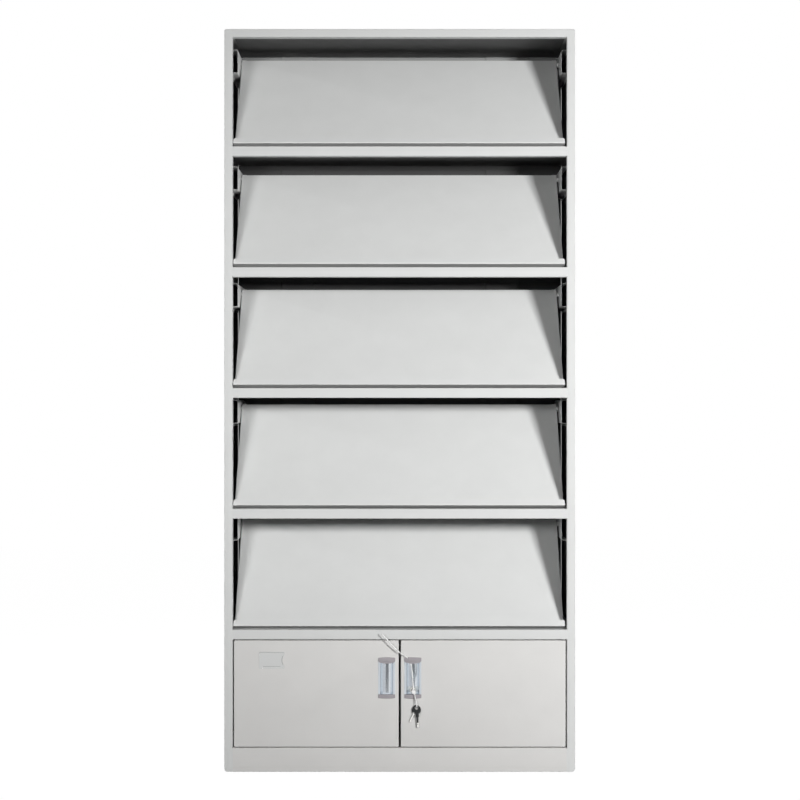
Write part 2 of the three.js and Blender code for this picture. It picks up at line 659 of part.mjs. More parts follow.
// Cable tie: its long tail stands out past the doors' top edge, runs behind the right handle's
// upper cap and down the scoop, and its loop goes through both keys and back to the head
const ring = { x: 41, y: FRONT - 8, z: 164, radius: 5.8 };
const tieRoute = [
  [-43, FRONT - 21, 338],
  [-24, FRONT - 22, 316.5],
  [-1, FRONT - 16, 292.5],
  [11, FRONT - 8, 283],
  [17.6, FRONT - 3.2, 277.5],
  [22, FRONT - 1.2, 271.5],
  [25.6, FRONT + 1.4, 264.5],
  [28.6, FRONT + 3.6, 252],
  [31, FRONT + 2.6, 230],
  [32.6, FRONT - 2.2, 208],
  [33.6, FRONT - 6.8, 196.5],
  [34.8, FRONT - 7.2, 188.5],
  [36.6, FRONT - 6.6, 180.5],
  [39, FRONT - 3.6, 172],
  [ring.x, ring.y + ring.radius, ring.z],
  [ring.x, ring.y + ring.radius * Math.SQRT1_2, ring.z - ring.radius * Math.SQRT1_2],
  [ring.x, ring.y, ring.z - ring.radius],
  [ring.x, ring.y - ring.radius * Math.SQRT1_2, ring.z - ring.radius * Math.SQRT1_2],
  [ring.x, ring.y - ring.radius, ring.z],
  [39.4, FRONT - 13.4, 174],
  [37, FRONT - 12, 184],
  [35, FRONT - 10.6, 193],
].map((point) => new THREE.Vector3(...point));

function tieTube(radius, steps) {
  const route = new THREE.CatmullRomCurve3(tieRoute);
  return new THREE.ExtrudeGeometry(disc(0, 0, radius), {
    steps, extrudePath: route, curveSegments: 4,
  });
}

function keyTie() {
  const head = block([29.8, 38.4], [FRONT - 12.6, FRONT - 5.2], [191.3, 199.3]);
  return joined(tieTube(TIE_RADIUS, TIE_STEPS), head);
}

const lockHole = (radius) => alongY(disc(HANDLE_X, LOCK_Z, radius), FRONT - 2, FRONT + 20, 6);

for (const [name, side] of Object.entries(SIDES)) {
  const middle = side * HANDLE_X;
  const hole = lockHole(LOCK_BODY_RADIUS + FIT);
  const plain = housing(middle);
  const bright = scoop(middle);
  const locked = name === 'right';
  const shell = locked ? cut(plain, hole, tieTube(TIE_RADIUS + 0.5, TIE_STEPS)) : plain;
  add(`handle_housing_${name}`, shell, 'plastic');
  add(`handle_scoop_${name}`, locked ? cut(bright, hole) : bright, 'aluminium');
}

// Cam lock in the right handle: barrel, plug with its keyway and square tang, and the cam
function turned(profile, sides) {
  const points = profile.map(([radius, y]) => new THREE.Vector2(radius, y));
  return new THREE.LatheGeometry(points, sides).translate(HANDLE_X, 0, LOCK_Z);
}

const lock = { front: FRONT + 1.5, headBack: FRONT + 9, back: FRONT + 18, headRadius: 6.5 };
const plugBore = PLUG_RADIUS + FIT;
add('lock_barrel', turned([
  [plugBore, lock.front],
  [lock.headRadius - 0.6, lock.front],
  [lock.headRadius, lock.front + 0.6],
  [lock.headRadius, lock.headBack],
  [LOCK_BODY_RADIUS, lock.headBack],
  [LOCK_BODY_RADIUS, lock.back],
  [plugBore, lock.back],
  [plugBore, lock.front],
], 20), 'chrome');

const tang = 2.4;
const camFront = FRONT + DOOR_DEPTH + 0.6;
const keyway = block([HANDLE_X - 0.6, HANDLE_X + 0.6], [lock.front - 1, lock.front + 9],
  [LOCK_Z - 2.8, LOCK_Z + 2.8]);
const plugCore = turned([
  [0, lock.front - 0.3], [PLUG_RADIUS, lock.front - 0.3], [PLUG_RADIUS, lock.back], [0, lock.back],
], 20);
const plugTang = block([HANDLE_X - tang, HANDLE_X + tang], [lock.back - 1, camFront + CAM_THICK + 1],
  [LOCK_Z - tang, LOCK_Z + tang]);
add('lock_plug', cut(joined(plugCore, plugTang), keyway), 'chrome');

function lockCam() {
  const shape = new THREE.Shape();
  const wide = 8;
  const narrow = 5;
  const tip = LOCK_Z - CAM_LENGTH + narrow;
  shape.absarc(HANDLE_X, LOCK_Z, wide, 0, Math.PI, false);
  shape.lineTo(HANDLE_X - narrow, tip);
  shape.absarc(HANDLE_X, tip, narrow, Math.PI, 2 * Math.PI, false);
  shape.closePath();
  const square = tang + FIT;
  shape.holes.push(roundedRectangle([HANDLE_X - square, HANDLE_X + square],
    [LOCK_Z - square, LOCK_Z + square], 0.4));
  return alongY(shape, camFront, camFront + CAM_THICK, 4);
}
add('lock_cam', lockCam(), 'steel');

// Bolt inside the left door: a flat bar with a finger tab, in a sleeve on the door's back
const boltTop = DOOR_TOP - 1;
const boltBottom = boltTop - bolt.length;
const boltGuideZ = [boltTop - 52, boltTop - 18];
const boltSection = foldedSheet([
  [bolt.y - bolt.thick / 2, boltTop],
  [bolt.y - bolt.thick / 2, boltBottom],
  [FRONT + DOOR_DEPTH + 6, boltBottom],
], 1, BEND, bolt.thick);
add('door_bolt', alongX(boltSection, bolt.x - bolt.width / 2, bolt.x + bolt.width / 2), 'steel');

function boltGuide() {
  const sleeve = roundedRectangle([bolt.x - 9, bolt.x + 9],
    [FRONT + SHEET + FIT, bolt.y + bolt.thick / 2 + 2.2], 1);
  sleeve.holes.push(roundedRectangle(
    [bolt.x - bolt.width / 2 - bolt.slack, bolt.x + bolt.width / 2 + bolt.slack],
    [bolt.y - bolt.thick / 2 - bolt.slack, bolt.y + bolt.thick / 2 + bolt.slack], 0.2));
  return alongZ(sleeve, ...boltGuideZ);
}
add('bolt_guide', boltGuide(), 'steel');

// Card frame on the left door, with a pocket for the card, a thumb notch in its right side, and
// slits along the top, the bottom and the notch that let the frame spring over the card
function labelHolder() {
  const front = FRONT - FIT - LABEL.thick;
  const middle = (LABEL.z[0] + LABEL.z[1]) / 2;
  const inside = [LABEL.x[0] + LABEL.rim, LABEL.x[1] - LABEL.rim];
  const plate = alongY(roundedRectangle(LABEL.x, LABEL.z, 2), front, FRONT - FIT);
  const pocket = alongY(roundedRectangle(inside,
    [LABEL.z[0] + LABEL.rim, LABEL.z[1] - LABEL.rim], 1), front - 1, front + LABEL.pocket);
  const notch = { x: LABEL.x[1] + 14.5, radius: 20 };
  const thumb = alongY(disc(notch.x, middle, notch.radius), front - 1, FRONT, 10);
  const level = (x, z) => block(x, [front - 1, FRONT], [z, z + LABEL.slit]);
  const bow = new THREE.Shape();
  const from = notch.radius + 1;
  const half = THREE.MathUtils.degToRad(32);
  bow.absarc(notch.x, middle, from, Math.PI - half, Math.PI + half, false);
  bow.absarc(notch.x, middle, from + LABEL.slit, Math.PI + half, Math.PI - half, true);
  bow.closePath();
  return cut(plate, pocket, thumb,
    level([LABEL.x[0] + 2, LABEL.x[1] - 2], LABEL.z[1] - 2),
    level([LABEL.x[0] + 10, inside[1] - 6], LABEL.z[0] + LABEL.rim + 1.2),
    alongY(bow, front - 1, FRONT, 8));
}
add('label_holder', labelHolder(), 'label');

// Keys, drawn hanging straight down from the middle of their hole
const KEY_HOLE = 4.6;

function keyBlade(from, to, width, thick) {
  const shape = new THREE.Shape();
  const half = width / 2;
  const teeth = 4;
  const pitch = 4;
  shape.moveTo(-half, from);
  shape.lineTo(-half, to + half);
  shape.lineTo(0, to);
  shape.lineTo(half, to + half);
  for (let tooth = 0; tooth < teeth; tooth++) {
    const z = to + half + 1 + tooth * pitch;
    shape.lineTo(half, z);
    shape.lineTo(half - 0.9, z + pitch / 2);
  }
  shape.lineTo(half, to + half + 1 + teeth * pitch);
  shape.lineTo(half, from);
  shape.closePath();
  return alongY(shape, -thick / 2, thick / 2);
}

function key({ bow, bowCentre, bowThick, neck, bladeTo, bladeWidth }) {
  const head = new THREE.Shape();
  head.absellipse(0, bowCentre, bow[0], bow[1], 0, 2 * Math.PI);
  const hole = alongY(disc(0, 0, KEY_HOLE), -bowThick, bowThick, 5);
  const shoulder = bowCentre - bow[1] + 2;
  const stem = block([-neck.width / 2, neck.width / 2], [-bowThick / 2, bowThick / 2],
    [neck.to, shoulder]);
  const blade = keyBlade(shoulder, bladeTo, bladeWidth, 1.6);
  return cut(joined(alongY(head, -bowThick / 2, bowThick / 2, 8), stem, blade), hole);
}

const keyHoleZ = ring.z - ring.radius - 1.4;
const keys = {
  key_1: {
    bow: [7.8, 10.7], bowCentre: -4.5, bowThick: 1.8, neck: { width: 5, to: -17 },
    bladeTo: -39, bladeWidth: 4, x: ring.x - 1, y: ring.y + 1.7, lean: 23,
  },
  key_2: {
    bow: [9.8, 10.7], bowCentre: -4.5, bowThick: 3, neck: { width: 7.6, to: -22.3 },
    bladeTo: -48.4, bladeWidth: 4, x: ring.x, y: ring.y - 1, lean: -4,
  },
};
for (const [name, size] of Object.entries(keys)) {
  const mesh = add(name, key(size), name === 'key_1' ? 'chrome' : 'black');
  mesh.position.set(size.x, size.y, keyHoleZ);
  mesh.rotation.y = THREE.MathUtils.degToRad(size.lean);
}
add('key_tie', keyTie(), 'nylon');

export default rack;
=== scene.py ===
# The looks of a sheet-steel periodical display rack: five sloping flaps that lift and push back,
# over a two-door lockable cupboard. Everything is in metres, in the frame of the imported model.
import math

import bpy
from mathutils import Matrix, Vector


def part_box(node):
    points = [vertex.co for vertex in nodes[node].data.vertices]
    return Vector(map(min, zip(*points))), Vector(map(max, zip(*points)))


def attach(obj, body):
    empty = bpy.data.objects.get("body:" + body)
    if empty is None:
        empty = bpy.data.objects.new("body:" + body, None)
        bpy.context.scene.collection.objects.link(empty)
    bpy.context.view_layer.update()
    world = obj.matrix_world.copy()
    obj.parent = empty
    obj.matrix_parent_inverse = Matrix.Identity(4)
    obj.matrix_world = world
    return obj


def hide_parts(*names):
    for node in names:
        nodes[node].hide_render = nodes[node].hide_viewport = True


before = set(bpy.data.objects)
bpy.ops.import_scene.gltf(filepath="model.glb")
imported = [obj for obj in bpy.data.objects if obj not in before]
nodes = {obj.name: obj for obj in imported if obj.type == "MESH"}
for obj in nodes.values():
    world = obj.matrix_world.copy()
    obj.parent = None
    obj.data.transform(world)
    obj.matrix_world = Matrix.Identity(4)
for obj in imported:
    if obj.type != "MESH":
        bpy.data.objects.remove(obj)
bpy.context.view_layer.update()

# Camera
# It stands level and square to the front, a little over four metres off and half way up the rack,
# with a short telephoto lens, so that stiles and bars show no side and the lid no top.
CAMERA_X = 0.0006
CAMERA_DISTANCE = 4.2
CAMERA_HEIGHT = 0.901
FRAME_WIDTH = 1.938
SENSOR_MM = 36
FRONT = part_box("base_panel")[0].y

bpy.ops.object.select_all(action="DESELECT")
bpy.ops.object.camera_add(
    location=(CAMERA_X, FRONT - CAMERA_DISTANCE, CAMERA_HEIGHT), rotation=(math.pi / 2, 0, 0)
)
camera = bpy.context.object
camera.data.sensor_width = SENSOR_MM
camera.data.lens = SENSOR_MM * CAMERA_DISTANCE / FRAME_WIDTH
bpy.context.scene.camera = camera
bpy.context.scene.view_settings.view_transform = "Standard"

# Cable tie
# The keys hang on a white nylon cable tie, moulded in one strip and pulled through its own head.
# Its long tail stands up before the doors, it runs behind the right handle's upper cap and down
# the scoop, and its loop goes through both keys and back to the head.
TIE_DIAMETER = 0.0026
RING_X, RING_Y, RING_Z, RING_RADIUS = 0.041, FRONT - 0.008, 0.164, 0.0058
ring_slant = RING_RADIUS * math.sqrt(0.5)
tie_route = [
    (-0.043, FRONT - 0.021, 0.338),
    (-0.024, FRONT - 0.022, 0.3165),
    (-0.001, FRONT - 0.016, 0.2925),
    (0.011, FRONT - 0.008, 0.283),
    (0.0176, FRONT - 0.0032, 0.2775),
    (0.022, FRONT - 0.0012, 0.2715),
    (0.0256, FRONT + 0.0014, 0.2645),
    (0.0286, FRONT + 0.0036, 0.252),
    (0.031, FRONT + 0.0026, 0.230),
    (0.0326, FRONT - 0.0022, 0.208),
    (0.0336, FRONT - 0.0068, 0.1965),
    (0.0348, FRONT - 0.0072, 0.1885),
    (0.0366, FRONT - 0.0066, 0.1805),
    (0.039, FRONT - 0.0036, 0.172),
    (RING_X, RING_Y + RING_RADIUS, RING_Z),
    (RING_X, RING_Y + ring_slant, RING_Z - ring_slant),
    (RING_X, RING_Y, RING_Z - RING_RADIUS),
    (RING_X, RING_Y - ring_slant, RING_Z - ring_slant),
    (RING_X, RING_Y - RING_RADIUS, RING_Z),
    (0.0394, FRONT - 0.0134, 0.174),
    (0.037, FRONT - 0.012, 0.184),
    (0.035, FRONT - 0.0106, 0.193),
]


def linear(hex_colour):
    """An sRGB hex colour as the linear RGBA that shaders take."""
    shares = [int(hex_colour[i : i + 2], 16) / 255 for i in (1, 3, 5)]
    return [s / 12.92 if s <= 0.04045 else ((s + 0.055) / 1.055) ** 2.4 for s in shares] + [1]


def add_node(tree, kind, inputs, **settings):
    """Adds a node to a material, sets it, and links or fills its inputs."""
    made = tree.nodes.new(kind)
    for name, value in settings.items():
        setattr(made, name, value)
    for name, value in inputs.items():
        if isinstance(value, bpy.types.NodeSocket):
            tree.links.new(value, made.inputs[name])
        else:
            made.inputs[name].default_value = value
    return made


def bare_material(name):
    """A material with an empty node tree."""
    material = bpy.data.materials.new(name)
    material.use_nodes = True
    material.node_tree.nodes.clear()
    return material


def places(tree):
    """Where on the piece a point lies."""
    return add_node(tree, "ShaderNodeTexCoord", {}).outputs["Object"]


def noise(tree, place, size, detail):
    """Noise from 0 to 1, with lumps of a size in metres."""
    made = add_node(
        tree, "ShaderNodeTexNoise", {"Vector": place, "Scale": 1 / size, "Detail": detail}
    )
    return made.outputs["Fac"]


def mix(tree, share, first, second):
    """A colour between two others."""
    made = add_node(
        tree, "ShaderNodeMix", {"Factor": share, "A": first, "B": second}, data_type="RGBA"
    )
    return made.outputs["Result"]


def bump(tree, height, distance, strength, over=None):
    """Relief of a height in metres, over a coarser one where that is given."""
    inputs = {"Height": height, "Distance": distance, "Strength": strength}
    if over is not None:
        inputs["Normal"] = over
    return add_node(tree, "ShaderNodeBump", inputs).outputs["Normal"]


def cover(tree, inputs):
    """Ends a material in one principled surface."""
    surface = add_node(tree, "ShaderNodeBsdfPrincipled", inputs)
    add_node(tree, "ShaderNodeOutputMaterial", {"Surface": surface.outputs["BSDF"]})


# Natural nylon: moulded, waxy and faintly translucent, so white with a soft wide highlight. The
# strip's ratchet teeth are 1 mm apart, and are drawn at 1.6 mm so that they show. The wave
# texture turns through 20 radians in a unit.
TOOTH = 0.0016
TOOTH_HEIGHT = 0.0002
WAVE_TURN = 20
NYLON_CLOUD = 0.006
natural_nylon = bare_material("natural_nylon")
tree = natural_nylon.node_tree
place = places(tree)
teeth = add_node(
    tree,
    "ShaderNodeTexWave",
    {"Vector": place, "Scale": 2 * math.pi / WAVE_TURN / TOOTH},
    bands_direction="Z",
)
clouds = noise(tree, place, NYLON_CLOUD, 2)
cover(
    tree,
    {
        "Base Color": mix(tree, clouds, linear("#f8f8f5"), linear("#ffffff")),
        "Normal": bump(tree, teeth.outputs["Fac"], TOOTH_HEIGHT, 0.35),
        "Roughness": 0.38,
        "IOR": 1.53,
    },
)

tie_curve = bpy.data.curves.new("cable_tie", "CURVE")
tie_curve.dimensions = "3D"
tie_curve.bevel_depth = TIE_DIAMETER / 2
tie_curve.bevel_resolution = 4
tie_curve.resolution_u = 8
tie_curve.use_fill_caps = True
strip = tie_curve.splines.new("BEZIER")
strip.bezier_points.add(len(tie_route) - 1)
for knot, spot in zip(strip.bezier_points, tie_route):
    knot.co = spot
    knot.handle_left_type = knot.handle_right_type = "AUTO"
cable_tie = bpy.data.objects.new("cable_tie", tie_curve)
bpy.context.scene.collection.objects.link(cable_tie)
cable_tie.data.materials.append(natural_nylon)

# The head has the strip's slot in its underside and a raised panel on its face.
HEAD_LOW = Vector((0.0298, FRONT - 0.0126, 0.1913))
HEAD_HIGH = Vector((0.0384, FRONT - 0.0052, 0.1993))
HEAD_WALL = 0.0011
HEAD_SLOT_DEPTH = 0.003
HEAD_PANEL_MARGIN = 0.0009
HEAD_PANEL_RISE = 0.0004
HEAD_ROUNDING = 0.0005
SQUARE_ON = 0.9
SMOOTH_ANGLE = math.radians(40)


def settle():
    """Moves the selected objects' origins to the frame's, unturned and unscaled."""
    bpy.ops.object.transform_apply(location=True, rotation=True, scale=True)


def select_faces(mesh_object, wanted):
    """Selects the faces that wanted says, in an object that is in edit mode."""
    bpy.ops.mesh.select_all(action="DESELECT")
    bpy.ops.object.mode_set(mode="OBJECT")
    for face in mesh_object.data.polygons:
        face.select = wanted(face)
    bpy.ops.object.mode_set(mode="EDIT")


def round_edges(piece, width, segments):
    """Rounds the active object's edges as a mould does, and smooths its shading."""
    rounding = piece.modifiers.new("moulded_edges", "BEVEL")
    rounding.width = width
    rounding.segments = segments
    rounding.limit_method = "ANGLE"
    bpy.ops.object.modifier_apply(modifier="moulded_edges")
    bpy.ops.object.shade_smooth_by_angle(angle=SMOOTH_ANGLE)


bpy.ops.object.select_all(action="DESELECT")
bpy.ops.mesh.primitive_cube_add(
    size=1, location=(HEAD_LOW + HEAD_HIGH) / 2, scale=HEAD_HIGH - HEAD_LOW
)
tie_head = bpy.context.object
tie_head.name = "tie_head"
settle()
bpy.ops.object.mode_set(mode="EDIT")
bpy.ops.mesh.select_mode(type="FACE")
select_faces(tie_head, lambda face: face.normal.z < -SQUARE_ON)
bpy.ops.mesh.inset(thickness=HEAD_WALL)
bpy.ops.mesh.extrude_region_move(TRANSFORM_OT_translate={"value": (0, 0, HEAD_SLOT_DEPTH)})
select_faces(tie_head, lambda face: face.normal.y < -SQUARE_ON)
bpy.ops.mesh.inset(thickness=HEAD_PANEL_MARGIN)
bpy.ops.transform.translate(value=(0, -HEAD_PANEL_RISE, 0))
bpy.ops.object.mode_set(mode="OBJECT")
round_edges(tie_head, HEAD_ROUNDING, 3)
tie_head.data.materials.append(natural_nylon)

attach(cable_tie, "door_right")
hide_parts("key_tie")
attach(tie_head, "door_right")

# Cabinet
# Side panels, back, lid, floor and shelves are 0.8 mm sheet steel, folded on a press brake and
# spot welded; the rails are hat sections screwed to the side walls. All is coated after assembly.

# Light grey powder coat: sprayed dry and baked, so satin, with a fine orange peel. The peel is
# about 0.8 mm across, and is drawn at 3 mm so that it shows. The thin sheet is never quite flat,
# so it also has shallow waves a hand's width apart, and the coat varies slightly in thickness.
PEEL = 0.003
PEEL_HEIGHT = 0.00006
SHEET_WAVE = 0.13
SHEET_WAVE_HEIGHT = 0.0006
COAT_CLOUD = 0.06
CLOUD_LOW, CLOUD_HIGH = 0.3, 0.7
SATIN_LOW, SATIN_HIGH = 0.48, 0.58


def ramp(tree, value, start, end, low=0, high=1):
    """A value's way from start to end, as one from low to high."""
    made = add_node(
        tree,
        "ShaderNodeMapRange",
        {"Value": value, "From Min": start, "From Max": end, "To Min": low, "To Max": high},
    )
    return made.outputs["Result"]


def calculate(tree, operation, *values):
    """The result of one operation on one or two values."""
    made = add_node(tree, "ShaderNodeMath", dict(enumerate(values)), operation=operation)
    return made.outputs["Value"]


def axes(tree, vector):
    """A vector's X, Y and Z."""
    return add_node(tree, "ShaderNodeSeparateXYZ", {"Vector": vector}).outputs


def powder_coat(name, low, high, painted_shade_tone=None, painted_shade_mask=None):
    """The coat between two tones, with the colour of its painted shade and the function that says
    where that lies.
    """
    material = bare_material(name)
    tree = material.node_tree
    texture = add_node(tree, "ShaderNodeTexCoord", {})
    place = texture.outputs["Object"]
    clouds = noise(tree, place, COAT_CLOUD, 4)
    tone = mix(tree, clouds, linear(low), linear(high))
    # Painted shade: the tone darkens towards the shade colour as the mask says.
    if painted_shade_tone:
        tone = mix(tree, painted_shade_mask(tree, place, texture.outputs["Normal"]), tone, linear(painted_shade_tone))
    waves = bump(tree, noise(tree, place, SHEET_WAVE, 1), SHEET_WAVE_HEIGHT, 0.4)
    cover(
        tree,
        {
            "Base Color": tone,
            "Roughness": ramp(tree, clouds, CLOUD_LOW, CLOUD_HIGH, SATIN_LOW, SATIN_HIGH),
            "Normal": bump(tree, noise(tree, place, PEEL, 2), PEEL_HEIGHT, 0.5, over=waves),
            "IOR": 1.5,
            "Specular IOR Level": 0.22,
        },
    )
    return material


# Painted shade: inside the rack the coat's colour is darkened towards a dark grey where shade
# falls, more the deeper in along the side walls, and deep in and high up in each tier, under the
# next shelf.
# A face is inside unless it lies behind the back, or on the rack's skin and looks away from its
# middle.
# The half depth is a short one, so that the back's rear counts as skin.
HALF_WIDTH = 0.425
HALF_DEPTH = 0.08
HALF_HEIGHT = 0.9
MIDDLE = (0, 0, HALF_HEIGHT)
TO_SKIN = (1 / HALF_WIDTH, 1 / HALF_DEPTH, 1 / HALF_HEIGHT)
SKIN = 0.75
BACK_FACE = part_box("back_panel")[1].y


def deep_inside(tree, place, normal, unshaded_depth, darkest_depth):
    """How deep a place lies in the rack: 0 at the first depth and on the skin, 1 at the second."""
    y = axes(tree, place)["Y"]
    deep = ramp(tree, y, FRONT + unshaded_depth, FRONT + darkest_depth)
    offset = add_node(tree, "ShaderNodeVectorMath", {0: place, 1: MIDDLE}, operation="SUBTRACT")
    scaled = add_node(
        tree,
        "ShaderNodeVectorMath",
        {0: offset.outputs["Vector"], 1: TO_SKIN},
        operation="MULTIPLY",
    )
    outwards = add_node(
        tree,
        "ShaderNodeVectorMath",
        {0: scaled.outputs["Vector"], 1: normal},
        operation="DOT_PRODUCT",
    )
    inside = calculate(tree, "LESS_THAN", outwards.outputs["Value"], SKIN)
    before_back = calculate(tree, "LESS_THAN", y, BACK_FACE)
    enclosed = calculate(tree, "MULTIPLY", inside, before_back)
    return calculate(tree, "MULTIPLY", deep, enclosed)


UNSHADED_WALL_DEPTH = 0.07
DARKEST_WALL_DEPTH = 0.18


def shade_along_walls(tree, place, normal):
    """How much painted shade a place gets along a side wall, by how far in it lies."""
    return deep_inside(tree, place, normal, UNSHADED_WALL_DEPTH, DARKEST_WALL_DEPTH)


UNSHADED_TIER_DEPTH = 0.03
DARKEST_TIER_DEPTH = 0.12
UNSHADED_TIER_RISE = 0.4
DARKEST_TIER_RISE = 0.85
HALF_SHEET = 0.0004
LOWEST_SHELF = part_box("shelf_5")[1].z - HALF_SHEET
TIER_PITCH = (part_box("shelf_1")[1].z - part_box("shelf_5")[1].z) / 4


def shade_under_shelves(tree, place, normal):
    """How much painted shade a place gets under the shelf above it, from 0 in front and low in a
    tier to 1.
    """
    deep = deep_inside(tree, place, normal, UNSHADED_TIER_DEPTH, DARKEST_TIER_DEPTH)
    above = calculate(tree, "SUBTRACT", axes(tree, place)["Z"], LOWEST_SHELF)
    in_tier = calculate(tree, "FRACT", calculate(tree, "DIVIDE", above, TIER_PITCH))
    high_up = ramp(tree, in_tier, UNSHADED_TIER_RISE, DARKEST_TIER_RISE)
    return calculate(tree, "MULTIPLY", deep, high_up)


# Painted light: near the top of the back the painted shade is lighter, where the soft boxes reach
# the back of the top tier.
FULL_SHADE_BACK_TOP = 1.62
LIGHTER_SHADE_BACK_TOP = 1.72
LIT_BACK_SHARE = 0.38


def shade_down_the_back(tree, place, normal):
    """The painted shade under the shelves, lighter near the top of the back."""
    share = shade_under_shelves(tree, place, normal)
    height = axes(tree, place)["Z"]
    shade_kept = ramp(tree, height, FULL_SHADE_BACK_TOP, LIGHTER_SHADE_BACK_TOP, 1, 1 - LIT_BACK_SHARE)
    return calculate(tree, "MULTIPLY", share, shade_kept)


CREASE_ANGLE = math.radians(50)
SAME_POINT = 0.00001


def dress(name, material):
    """Gives a CAD node its finish, and smooth shading between its creases."""
    piece = nodes[name]
    piece.data.materials.clear()
    piece.data.materials.append(material)
    piece.data.polygons.foreach_set("use_smooth", [True] * len(piece.data.polygons))
    if "custom_normal" in piece.data.attributes:
        piece.data.attributes.remove(piece.data.attributes["custom_normal"])
    weld = piece.modifiers.new("closed_corners", "WELD")
    weld.merge_threshold = SAME_POINT
    creases = piece.modifiers.new("creases", "EDGE_SPLIT")
    creases.split_angle = CREASE_ANGLE
    creases.use_edge_sharp = False


SIDES = ("left", "right")
TIERS = range(1, 6)
COAT = ("#d3d4d3", "#dadbda")
WARM_COAT = ("#d5d4d2", "#dcdbd9")
# Painted shade: the dark grey that the coat inside the rack darkens to.
PAINTED_SHADE_GREY = "#5e5e5e"
cabinet_coat = powder_coat(
    "light_grey_powder_coat_with_painted_shade", *COAT, painted_shade_tone=PAINTED_SHADE_GREY, painted_shade_mask=shade_under_shelves
)
back_coat = powder_coat(
    "light_grey_powder_coat_on_back_with_painted_shade", *COAT, painted_shade_tone=PAINTED_SHADE_GREY, painted_shade_mask=shade_down_the_back
)
wall_coat = powder_coat(
    "light_grey_powder_coat_on_walls_with_painted_shade", *COAT, painted_shade_tone=PAINTED_SHADE_GREY, painted_shade_mask=shade_along_walls
)
base_coat = powder_coat(
    "warm_light_grey_powder_coat_with_painted_shade", *WARM_COAT, painted_shade_tone=PAINTED_SHADE_GREY, painted_shade_mask=shade_under_shelves
)
rail_coat = powder_coat("white_powder_coat", "#eff0ef", "#f5f6f5")
dress("back_panel", back_coat)
dress("base_panel", base_coat)
dress("top_panel", cabinet_coat)
for side in SIDES:
    dress(f"side_panel_{side}", wall_coat)
for tier in TIERS:
    dress(f"shelf_{tier}", cabinet_coat)
    for side in SIDES:
        dress(f"rail_{tier}_{side}", rail_coat)

# The coat bridges the hairline seams where the header, bars and plinth meet the stiles.
SEAM_X = 0.4058
BRIDGE_WIDTH = 0.0032
BRIDGE_THICK = 0.0009
BRIDGE_ROUNDING = 0.0002
BRIDGE_ENDS = 0.003
seamless_coat = powder_coat("light_grey_powder_coat", *COAT)
bpy.ops.object.select_all(action="DESELECT")
bridges = []
for name in ["top_panel", "base_panel"] + [f"shelf_{tier}" for tier in TIERS]:
    low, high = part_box(name)
    for x in (-SEAM_X, SEAM_X):
        bpy.ops.mesh.primitive_cube_add(
            size=1,
            location=(x, FRONT + HALF_SHEET, (low.z + high.z) / 2),
            scale=(BRIDGE_WIDTH, BRIDGE_THICK, high.z - low.z - BRIDGE_ENDS),
        )
        bridges.append(bpy.context.object)
for bridge in bridges:
    bridge.select_set(True)
bpy.ops.object.join()
seam_coat = bpy.context.object
seam_coat.name = "seam_coat"
settle()
bpy.ops.object.mode_set(mode="EDIT")
bpy.ops.mesh.select_all(action="SELECT")
bpy.ops.mesh.bevel(offset=BRIDGE_ROUNDING, segments=2)
bpy.ops.object.mode_set(mode="OBJECT")
seam_coat.data.materials.append(seamless_coat)
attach(seam_coat, "cabinet")

# Flaps
# Each flap is one folded sheet with a tray and a lip along its foot and flanges at its sides. It
# turns on a zinc-plated rod, whose ends run in nylon bushes along the slots of the rails.

# Bright zinc plate: drawn steel rod and stamped strip, plated, so a greyish mirror with fine
# scratches from drawing, 0.5 mm apart, and blotches about 10 mm across.
ZINC_LINE = 0.0005
ZINC_BLOTCH = 0.01
zinc_plate = bare_material("bright_zinc_plate")
tree = zinc_plate.node_tree
place = places(tree)
lines = noise(tree, place, ZINC_LINE, 2)
blotches = noise(tree, place, ZINC_BLOTCH, 3)
cover(
    tree,
    {
        "Base Color": mix(tree, blotches, linear("#a9aaa9"), linear("#c3c4c4")),
        "Roughness": ramp(tree, lines, 0, 1, 0.28, 0.42),
        "Metallic": 1,
    },
)

# Painted shade: the faces that look down, under the flaps' trays, are painted darker, as the gap
# between lip and bar lies in shade.
UNDERSIDE = -0.8


def shade_under_trays(tree, place, normal):
    """1 on the faces that look down, and 0 elsewhere."""
    return calculate(tree, "LESS_THAN", axes(tree, normal)["Z"], UNDERSIDE)


# Painted light: the flaps' coat is a little lighter than the cabinet's, for the brighter light on
# their sloping faces, and darker under the trays as painted shade.
flap_coat = powder_coat(
    "light_grey_powder_coat_on_flaps", "#dddedd", "#e4e5e4", painted_shade_tone="#a6a6a6", painted_shade_mask=shade_under_trays
)
for tier in TIERS:
    dress(f"flap_{tier}", flap_coat)
    dress(f"pivot_rod_{tier}", zinc_plate)
    for side in SIDES:
        dress(f"bush_{tier}_{side}", natural_nylon)

# Doors
# Two sheet-steel pans with rolled edges and a return lip, coated like the cabinet. They swing on
# plain zinc-plated pins at the outer corners; the left one carries a sliding bolt inside.
door_coat = powder_coat("warm_light_grey_powder_coat", "#d6d5d3", "#dddcda")
for side in SIDES:
    dress(f"door_{side}", door_coat)
    for end in ("top", "bottom"):
        dress(f"hinge_pin_{side}_{end}", zinc_plate)
dress("door_bolt", zinc_plate)
dress("bolt_guide", zinc_plate)

# Handles
# Each handle is a moulded plastic housing clipped through the door, with a raised cap at either
# end, and a polished aluminium scoop between the caps for the fingers.

# Mauve-grey ABS: injection moulded in a polished tool, so glossy, with a trace of moulding grain
# about 0.5 mm across, drawn at 1.2 mm so that it shows.
ABS_GRAIN = 0.0012
ABS_GRAIN_HEIGHT = 0.00005
ABS_FLOW = 0.02
grey_abs = bare_material("mauve_grey_abs")
tree = grey_abs.node_tree
place = places(tree)
cover(
    tree,
    {
        "Base Color": mix(
            tree, noise(tree, place, ABS_FLOW, 2), linear("#9b969a"), linear("#a7a2a6")
        ),
        "Normal": bump(tree, noise(tree, place, ABS_GRAIN, 3), ABS_GRAIN_HEIGHT, 0.3),
        "Roughness": 0.24,
        "IOR": 1.54,
    },
)

